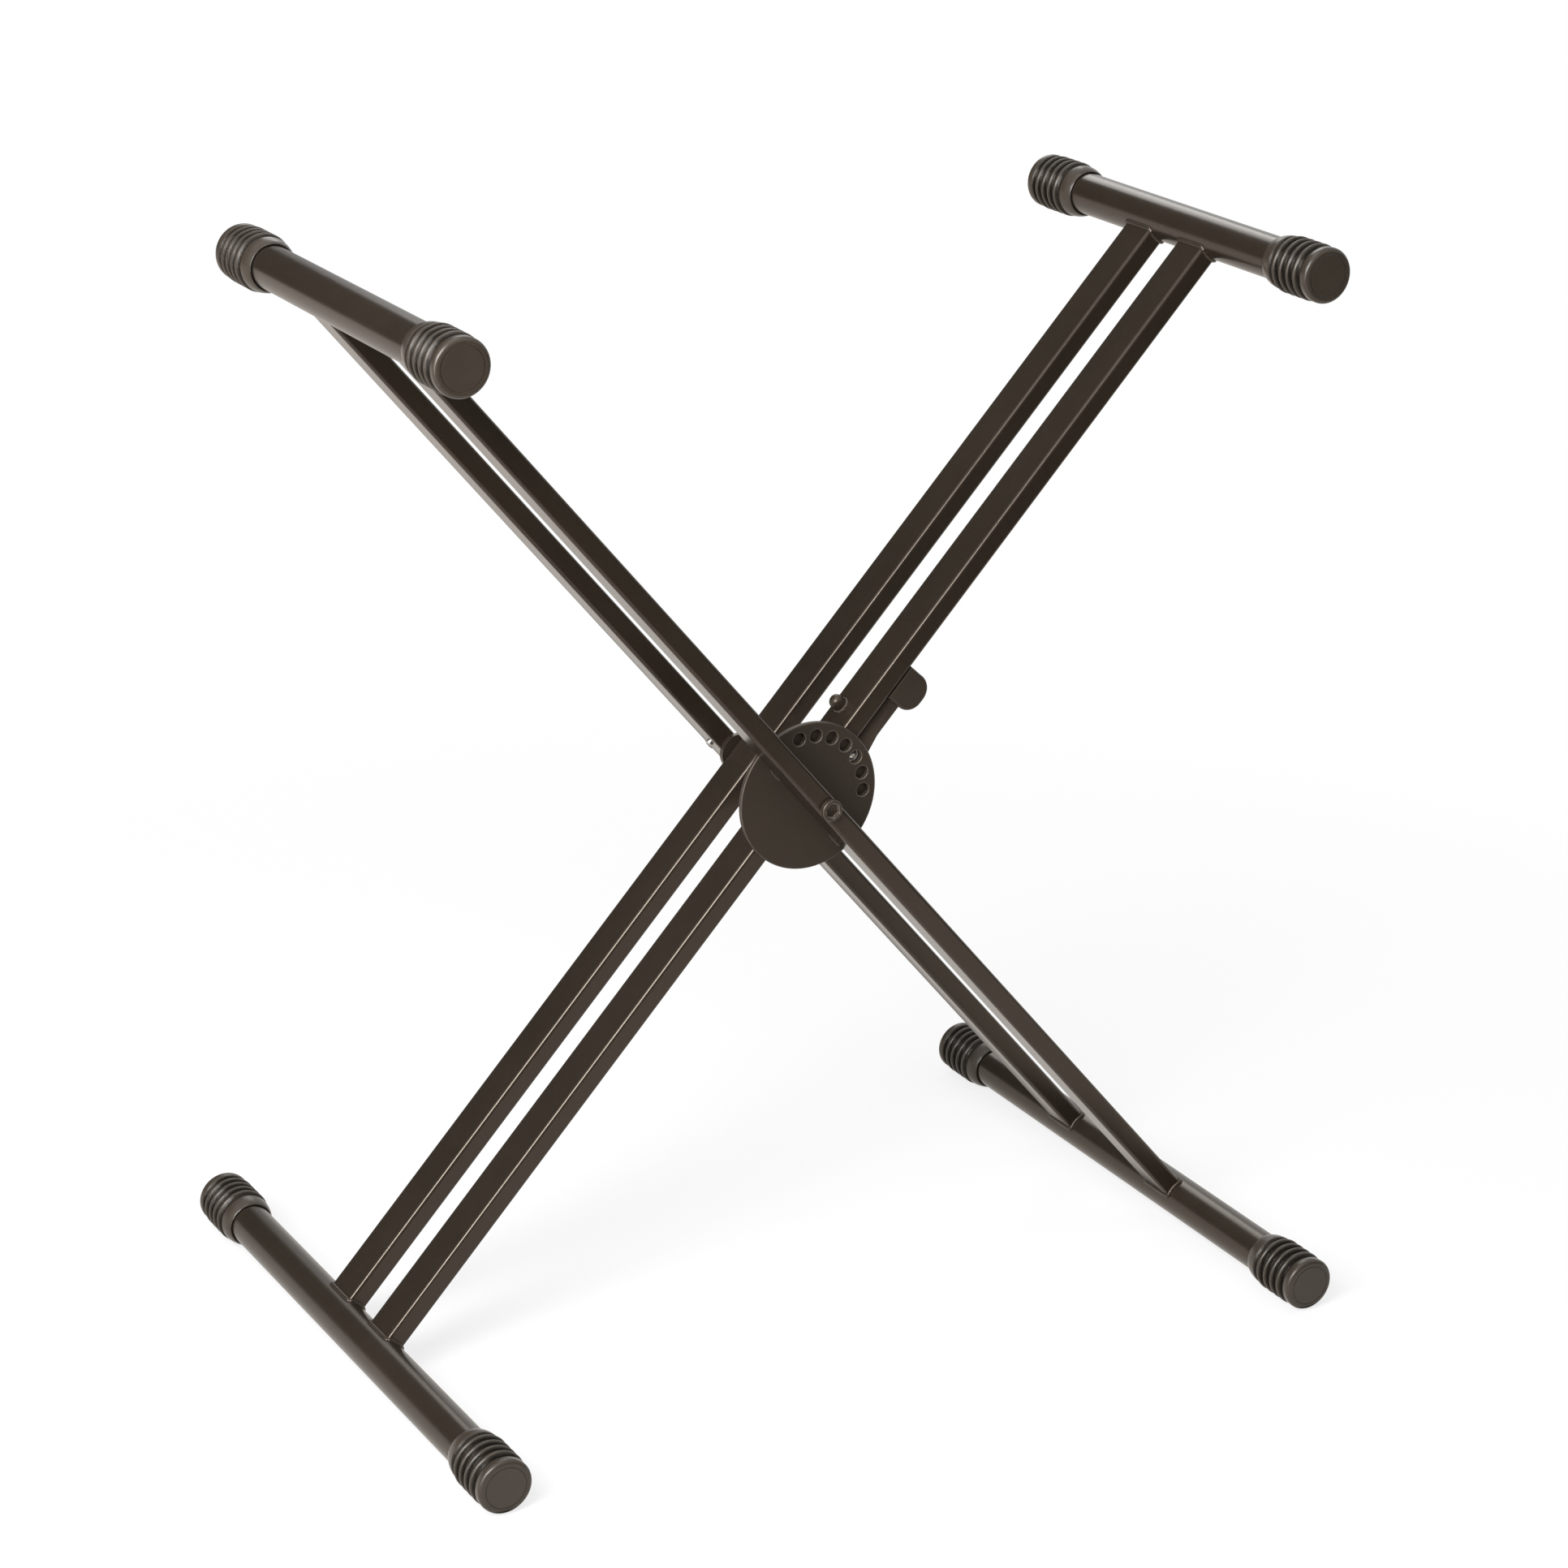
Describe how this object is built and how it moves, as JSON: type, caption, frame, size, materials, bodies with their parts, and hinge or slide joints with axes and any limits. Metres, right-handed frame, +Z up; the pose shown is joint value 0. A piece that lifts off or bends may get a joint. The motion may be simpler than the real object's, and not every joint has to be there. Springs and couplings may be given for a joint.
{
  "type": "folding keyboard stand",
  "caption": "Folding keyboard stand with doubled crossed legs, a perforated lock disc with a pull lever, and ribbed rubber caps on its feet and arms.",
  "frame": {"origin": "on the floor, under the hub bolt's middle, which is the bounding box's bottom centre", "axes": "+Z up, +X to the right along the stand's width, the player's side with the lock disc faces -Y"},
  "size_m": [0.6828, 0.481, 0.7665],
  "materials": {
    "leg_paint": "satin black powder coat",
    "disc_paint": "fine textured black powder coat",
    "weld_paint": "weld bead under black powder coat",
    "cap_rubber": "matte black moulded rubber",
    "pin_steel": "bright zinc plate",
    "bolt_steel": "zinc plated steel",
    "black_screw": "black oxide",
    "glide_plastic": "black nylon",
    "grip_plastic": "satin black moulded plastic"
  },
  "bodies": {
    "outer_frame": {"outer_front_leg": "leg_paint", "outer_rear_leg": "leg_paint", "outer_foot_bar": "leg_paint", "outer_arm_bar": "leg_paint", "outer_foot_cap_front": "cap_rubber", "outer_foot_cap_rear": "cap_rubber", "outer_arm_cap_front": "cap_rubber", "outer_arm_cap_rear": "cap_rubber", "outer_foot_welds": "weld_paint", "outer_arm_welds": "weld_paint", "disc_welds": "weld_paint", "lock_disc": "disc_paint", "rear_spacer": "leg_paint", "front_bush": "bolt_steel", "rear_bush": "bolt_steel", "hub_bolt": "black_screw", "hub_washer": "bolt_steel", "hub_nut": "bolt_steel", "side_screw": "bolt_steel"},
    "inner_frame": {"inner_front_leg": "leg_paint", "inner_rear_leg": "leg_paint", "inner_foot_bar": "leg_paint", "inner_arm_bar": "leg_paint", "inner_foot_cap_front": "cap_rubber", "inner_foot_cap_rear": "cap_rubber", "inner_arm_cap_front": "cap_rubber", "inner_arm_cap_rear": "cap_rubber", "inner_foot_welds": "weld_paint", "inner_arm_welds": "weld_paint", "hub_sleeve": "bolt_steel", "front_glide": "glide_plastic", "rear_glide": "glide_plastic", "lever_bolt": "black_screw", "lever_head_washer": "black_screw", "lever_gap_washer": "bolt_steel", "lever_nut": "bolt_steel", "pin_lug_front": "leg_paint", "pin_lug_rear": "leg_paint"},
    "lever": {"lever_channel": "leg_paint", "lever_grip": "grip_plastic"},
    "lock_pin": {"lock_pin": "pin_steel", "link_pin": "pin_steel"}
  },
  "joints": [
    {"name": "fold", "type": "hinge", "parent": "outer_frame", "child": "inner_frame", "pos_m": [0, 0, 0.38324], "axis": [0, -1, 0], "range_deg": [-34.8, 69.6]},
    {"name": "lever_turn", "type": "hinge", "parent": "inner_frame", "child": "lever", "pos_m": [0.04307, -0.028, 0.43193], "axis": [-0.749, 0, 0.6626], "range_deg": [0, 13.4]},
    {"name": "pin_slide", "type": "slide", "parent": "inner_frame", "child": "lock_pin", "axis": [0, -1, 0], "range_m": [0, 0.00546]}
  ],
  "couplings": [
    {"joint": "pin_slide", "follows": "lever_turn", "m_per_rad": 0.02327}
  ]
}
